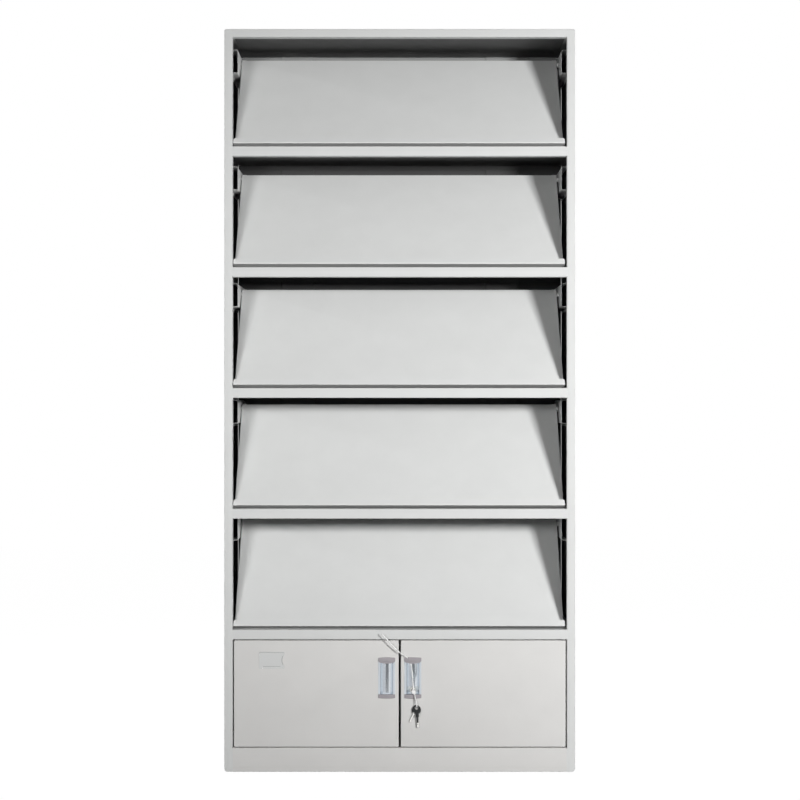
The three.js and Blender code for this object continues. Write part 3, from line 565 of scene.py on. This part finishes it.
# Polished aluminium: extruded, polished and clear anodised, so a cool silver mirror with faint
# extrusion lines along the scoop, 0.6 mm apart. The flat edges at its sides are left satin.
EXTRUSION_LINE = 0.0006
LINE_STRETCH = 0.01
SATIN_ALUMINIUM = 0.6
SCOOP_HALF_CHORD = 0.0155
HALF_BLEND = 0.0005
SCOOP_X = (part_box("handle_scoop_right")[0].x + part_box("handle_scoop_right")[1].x) / 2
polished_aluminium = bare_material("polished_aluminium")
tree = polished_aluminium.node_tree
place = places(tree)
along = add_node(tree, "ShaderNodeMapping", {"Vector": place, "Scale": (1, 1, LINE_STRETCH)})
lines = noise(tree, along.outputs["Vector"], EXTRUSION_LINE, 2)
from_rack_middle = calculate(tree, "ABSOLUTE", axes(tree, place)["X"])
across = calculate(tree, "SUBTRACT", from_rack_middle, SCOOP_X)
satin = ramp(
    tree,
    calculate(tree, "ABSOLUTE", across),
    SCOOP_HALF_CHORD - HALF_BLEND,
    SCOOP_HALF_CHORD + HALF_BLEND,
    0,
    SATIN_ALUMINIUM,
)
cover(
    tree,
    {
        "Base Color": linear("#dde2e7"),
        "Roughness": calculate(tree, "MAXIMUM", ramp(tree, lines, 0, 1, 0.12, 0.26), satin),
        "Metallic": 1,
    },
)

for side in SIDES:
    dress(f"handle_housing_{side}", grey_abs)
    dress(f"handle_scoop_{side}", polished_aluminium)

# Under each upper cap a thin bowed lip of the housing's plastic hangs down over the top of the
# scoop, and a plate of the scoop's metal closes its lower end.
CAP_LIP_HALF = (0.0195, 0.0052)
CAP_LIP_THICK = 0.0016
CAP_LIP_Y = FRONT - 0.0024
CAP_LIP_ROUNDING = 0.0005
SCOOP_AXIS = FRONT - 0.00466
SCOOP_MOUTH = FRONT - 0.0013
END_PLATE_RADIUS = 0.0156
END_PLATE_THICK = 0.0004
END_PLATE_LIFT = 0.0003


def upright_disc(radii, thick, centre):
    """A round plate that faces the front, as the active object."""
    bpy.ops.object.select_all(action="DESELECT")
    bpy.ops.mesh.primitive_cylinder_add(
        vertices=40, radius=1, depth=thick, rotation=(math.pi / 2, 0, 0)
    )
    plate = bpy.context.object
    settle()
    plate.scale = (radii[0], 1, radii[1])
    plate.location.z = centre
    settle()
    return plate


for side in SIDES:
    low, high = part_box(f"handle_scoop_{side}")
    middle = (low.x + high.x) / 2
    cap_lip = upright_disc(CAP_LIP_HALF, CAP_LIP_THICK, 0)
    cap_lip.name = f"cap_lip_{side}"
    cap_lip.location = (middle, CAP_LIP_Y, high.z)
    settle()
    round_edges(cap_lip, CAP_LIP_ROUNDING, 3)
    cap_lip.data.materials.append(grey_abs)
    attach(cap_lip, f"door_{side}")

    bpy.ops.object.select_all(action="DESELECT")
    bpy.ops.mesh.primitive_cylinder_add(
        vertices=64,
        radius=END_PLATE_RADIUS,
        depth=END_PLATE_THICK,
        location=(middle, SCOOP_AXIS, low.z + END_PLATE_LIFT),
    )
    end_plate = bpy.context.object
    end_plate.name = f"scoop_end_{side}"
    settle()
    bpy.ops.object.mode_set(mode="EDIT")
    bpy.ops.mesh.select_all(action="SELECT")
    bpy.ops.mesh.bisect(
        plane_co=(middle, SCOOP_MOUTH, low.z),
        plane_no=(0, -1, 0),
        use_fill=True,
        clear_outer=True,
    )
    bpy.ops.object.mode_set(mode="OBJECT")
    end_plate.data.materials.append(polished_aluminium)
    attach(end_plate, f"door_{side}")

# Lock
# A cam lock sits low in the right handle's scoop: a nickel-plated barrel and plug, and a steel
# cam behind the door that reaches behind the left door's lip when it is turned.

# Nickel plate: polished brass plated with nickel, so a warm bright mirror with fine scuffs about
# 2 mm long from the key.
NICKEL_SCUFF = 0.002
nickel_plate = bare_material("polished_nickel_plate")
tree = nickel_plate.node_tree
scuffs = noise(tree, places(tree), NICKEL_SCUFF, 4)
cover(
    tree,
    {
        "Base Color": linear("#f0efeb"),
        "Roughness": ramp(tree, scuffs, 0, 1, 0.1, 0.25),
        "Metallic": 1,
    },
)

dress("lock_barrel", nickel_plate)
dress("lock_plug", nickel_plate)
dress("lock_cam", zinc_plate)

# Card frame
# A small moulded frame for a name card, in the cabinet's grey, on the left door. A dark sheet
# behind it shows in its slits as painted shade lines, and two small white studs on it are painted
# highlights. The thumb notch lets the card out.

# Light grey polystyrene: injection moulded and glossy, near the colour of the coat round it, with
# faint moulding grain 0.5 mm across, drawn at 1 mm so that it shows.
STYRENE_GRAIN = 0.001
grey_styrene = bare_material("light_grey_polystyrene")
tree = grey_styrene.node_tree
grain = noise(tree, places(tree), STYRENE_GRAIN, 2)
cover(
    tree,
    {
        "Base Color": mix(tree, grain, linear("#d2d3d2"), linear("#dadbda")),
        "Roughness": 0.25,
        "IOR": 1.59,
    },
)
dress("label_holder", grey_styrene)

# Painted shade: a dark grey matt sheet cut to the frame, behind it, that shows in its slits as dark
# shade lines, mottled in spots about 0.5 mm across.
SLIT_SHADE_MOTTLE = 0.0005
slit_shade_sheet = bare_material("dark_slit_shade_sheet")
tree = slit_shade_sheet.node_tree
mottle = noise(tree, places(tree), SLIT_SHADE_MOTTLE, 2)
cover(
    tree,
    {"Base Color": mix(tree, mottle, linear("#303131"), linear("#454646")), "Roughness": 0.9},
)

CARD_LOW, CARD_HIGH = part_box("label_holder")
SLIT_SHADE_INSET = 0.0012
SLIT_SHADE_THICK = 0.0002
SLIT_SHADE_Y = FRONT - 0.00015
NOTCH_X, NOTCH_RADIUS = CARD_HIGH.x + 0.0145, 0.0204
CUTTER_DEPTH = 0.01


def cut_out(piece, cutter):
    """Cuts one object out of the active one, and removes it."""
    opening = piece.modifiers.new("opening", "BOOLEAN")
    opening.object = cutter
    opening.operation = "DIFFERENCE"
    bpy.ops.object.modifier_apply(modifier="opening")
    bpy.data.objects.remove(cutter)


card_middle = (CARD_LOW + CARD_HIGH) / 2
bpy.ops.object.select_all(action="DESELECT")
bpy.ops.mesh.primitive_cylinder_add(
    vertices=64,
    radius=NOTCH_RADIUS,
    depth=CUTTER_DEPTH,
    location=(NOTCH_X, FRONT, card_middle.z),
    rotation=(math.pi / 2, 0, 0),
)
notch = bpy.context.object
# Painted shade: the dark sheet behind the frame, with the thumb notch cut out of it.
bpy.ops.mesh.primitive_cube_add(
    size=1,
    location=(card_middle.x, SLIT_SHADE_Y, card_middle.z),
    scale=(
        CARD_HIGH.x - CARD_LOW.x - 2 * SLIT_SHADE_INSET,
        SLIT_SHADE_THICK,
        CARD_HIGH.z - CARD_LOW.z - 2 * SLIT_SHADE_INSET,
    ),
)
card_slit_shade = bpy.context.object
card_slit_shade.name = "card_slit_shade"
settle()
cut_out(card_slit_shade, notch)
card_slit_shade.data.materials.append(slit_shade_sheet)
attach(card_slit_shade, "door_left")

# Painted highlights: two small white domes at the frame's left edge, where its corner catches the
# light.
HIGHLIGHT_STUDS = (
    (CARD_LOW.x + 0.009, CARD_LOW.z + 0.0015, 0.0011),
    (CARD_LOW.x + 0.001, CARD_HIGH.z - 0.0072, 0.0008),
)
HIGHLIGHT_STUD_FLATNESS = 0.5
bpy.ops.object.select_all(action="DESELECT")
heads = []
for x, z, radius in HIGHLIGHT_STUDS:
    bpy.ops.mesh.primitive_uv_sphere_add(
        segments=20,
        ring_count=12,
        radius=radius,
        location=(x, CARD_LOW.y, z),
        scale=(1, HIGHLIGHT_STUD_FLATNESS, 1),
    )
    heads.append(bpy.context.object)
for head in heads:
    head.select_set(True)
bpy.ops.object.join()
card_highlight_studs = bpy.context.object
card_highlight_studs.name = "card_highlight_studs"
settle()
bpy.ops.object.shade_smooth_by_angle(angle=SMOOTH_ANGLE)
card_highlight_studs.data.materials.append(natural_nylon)
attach(card_highlight_studs, "door_left")

# Keys
# Two steel keys side by side on the tie's loop. The left one is nickel plated, with a moulded black
# grip over its bow and the tang let into the grip's face; the right one is black with a bright tip.

# Black polypropylene: injection moulded over the steel, satin, with grain about 0.4 mm across,
# drawn at 0.8 mm so that it shows.
GRIP_GRAIN = 0.0008
black_grip = bare_material("black_polypropylene")
tree = black_grip.node_tree
grain = noise(tree, places(tree), GRIP_GRAIN, 2)
cover(
    tree,
    {
        "Base Color": mix(tree, grain, linear("#0e0e0f"), linear("#1b1c1c")),
        "Roughness": 0.42,
        "IOR": 1.49,
    },
)

KEY_1_HOLE, KEY_1_LEAN = Vector((0.040, RING_Y + 0.0017, 0.1568)), math.radians(23)
KEY_2_HOLE, KEY_2_LEAN = Vector((0.041, RING_Y - 0.001, 0.1568)), math.radians(-4)
KEY_ROUNDING = 0.0003
GRIP_CENTRE = -0.0045
GRIP_HALF = (0.0081, 0.011)
GRIP_THICK = 0.0024
EYE_HALF = (0.0048, 0.0048)
TANG_CENTRE, TANG_SIZE = (-0.0008, -0.0012, -0.0205), (0.0026, 0.0008, 0.032)
TIP_CENTRE, TIP_SIZE = (0, 0, -0.0415), (0.0043, 0.0019, 0.011)


def bar(name, centre, size):
    """A square bar, as the active object."""
    bpy.ops.object.select_all(action="DESELECT")
    bpy.ops.mesh.primitive_cube_add(size=1, location=centre, scale=size)
    made = bpy.context.object
    made.name = name
    settle()
    return made


def hang(piece, hole, lean, body, material):
    """Swings a piece drawn under the origin to a key's lean, and hangs it at the key's hole."""
    bpy.ops.object.select_all(action="DESELECT")
    piece.select_set(True)
    bpy.context.view_layer.objects.active = piece
    piece.rotation_euler.y = lean
    piece.location = hole
    settle()
    round_edges(piece, KEY_ROUNDING, 2)
    piece.data.materials.append(material)
    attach(piece, body)


eye = upright_disc(EYE_HALF, CUTTER_DEPTH, 0)
key_grip = upright_disc(GRIP_HALF, GRIP_THICK, GRIP_CENTRE)
key_grip.name = "key_grip"
cut_out(key_grip, eye)
hang(key_grip, KEY_1_HOLE, KEY_1_LEAN, "key_1", black_grip)
key_tang = bar("key_tang", TANG_CENTRE, TANG_SIZE)
hang(key_tang, KEY_1_HOLE, KEY_1_LEAN, "key_1", nickel_plate)
key_tip = bar("key_tip", TIP_CENTRE, TIP_SIZE)
hang(key_tip, KEY_2_HOLE, KEY_2_LEAN, "key_2", nickel_plate)

dress("key_1", nickel_plate)
dress("key_2", black_grip)

# Studio
# A white floor and backdrop, and two soft boxes well in front of the rack: the stronger to the
# right, the weaker to the left, both a little above its middle. Two more, higher up behind, light
# its back, sides and lid.
FLOOR_SIZE = 12
FLOOR_GLOW = 1.06
FLOOR_GLOW_SHARE = 0.94


def seen_directly(tree):
    """1 for what the lens sees, also in metal or through glass, and 0 for scattered light."""
    ray = add_node(tree, "ShaderNodeLightPath", {}).outputs
    seen = calculate(tree, "MAXIMUM", ray["Is Camera Ray"], ray["Is Glossy Ray"])
    return calculate(tree, "MAXIMUM", seen, ray["Is Transmission Ray"])


bpy.ops.object.select_all(action="DESELECT")
bpy.ops.mesh.primitive_plane_add(size=FLOOR_SIZE, location=(0, 0, 0))
floor = bpy.context.object
floor.name = "studio_floor"
floor_paint = bare_material("white_floor")
tree = floor_paint.node_tree
matt = add_node(tree, "ShaderNodeBsdfDiffuse", {"Color": linear("#909090")})
white = add_node(
    tree, "ShaderNodeEmission", {"Color": linear("#ffffff"), "Strength": FLOOR_GLOW}
)
share = calculate(tree, "MULTIPLY", seen_directly(tree), FLOOR_GLOW_SHARE)
mixed = add_node(
    tree,
    "ShaderNodeMixShader",
    {"Fac": share, 1: matt.outputs["BSDF"], 2: white.outputs["Emission"]},
)
add_node(tree, "ShaderNodeOutputMaterial", {"Surface": mixed.outputs["Shader"]})
floor.data.materials.append(floor_paint)

# Painted reflections: two glowing sheets on the floor before the rack show only in the bright
# metal, and only at first hand: a dark one in front, a pale one to the right.
MAT_LIFT = 0.003
FIRST_HAND = 1.5
for name, spot, size, colour in (
    ("dark_reflection_sheet", (-0.35, -2.65, MAT_LIFT), (1.7, 3, 1), "#46494d"),
    ("pale_reflection_sheet", (1.25, -1.0, MAT_LIFT), (1.5, 1.8, 1), "#c6c8cc"),
):
    bpy.ops.object.select_all(action="DESELECT")
    bpy.ops.mesh.primitive_plane_add(size=1, location=spot)
    mat = bpy.context.object
    mat.name = name
    mat.scale = size
    settle()
    mat.visible_camera = False
    mat.visible_diffuse = False
    mat.visible_shadow = False
    reflection_glow = bare_material(name)
    tree = reflection_glow.node_tree
    ray = add_node(tree, "ShaderNodeLightPath", {}).outputs
    again = calculate(tree, "GREATER_THAN", ray["Ray Depth"], FIRST_HAND)
    reflected_tone = mix(tree, again, linear(colour), linear("#ffffff"))
    glow = add_node(tree, "ShaderNodeEmission", {"Color": reflected_tone})
    add_node(tree, "ShaderNodeOutputMaterial", {"Surface": glow.outputs["Emission"]})
    mat.data.materials.append(reflection_glow)

AMBIENT = 0.012
world = bpy.data.worlds.new("white_studio")
bpy.context.scene.world = world
world.use_nodes = True
tree = world.node_tree
tree.nodes.clear()
ambient = add_node(
    tree, "ShaderNodeBackground", {"Color": linear("#ffffff"), "Strength": AMBIENT}
)
white = add_node(tree, "ShaderNodeBackground", {"Color": linear("#ffffff"), "Strength": 1})
mixed = add_node(
    tree,
    "ShaderNodeMixShader",
    {"Fac": seen_directly(tree), 1: ambient.outputs["Background"], 2: white.outputs["Background"]},
)
add_node(tree, "ShaderNodeOutputWorld", {"Surface": mixed.outputs["Shader"]})

SOFT_BOX = 0.52
REAR_AIM = Vector((0, 0, 1.1))
for name, spot, aim, spread, power in (
    ("soft_box_right", Vector((1.83, -4.4, 1.39)), Vector((1.9, 0, 1)), 84, 66.5),
    ("soft_box_left", Vector((-1.11, -4.4, 1.39)), Vector((-0.95, 0, 1)), 52, 8.4),
    ("soft_box_behind_right", Vector((2.6, 2.8, 3.4)), REAR_AIM, 90, 34),
    ("soft_box_behind_left", Vector((-2.6, 2.8, 3.4)), REAR_AIM, 90, 34),
):
    lamp = bpy.data.lights.new(name, "AREA")
    lamp.shape = "SQUARE"
    lamp.size = SOFT_BOX
    lamp.energy = power
    lamp.spread = math.radians(spread)
    holder = bpy.data.objects.new(name, lamp)
    holder.location = spot
    holder.visible_glossy = False
    holder.rotation_mode = "QUATERNION"
    holder.rotation_quaternion = (aim - spot).to_track_quat("-Z", "Y")
    bpy.context.scene.collection.objects.link(holder)
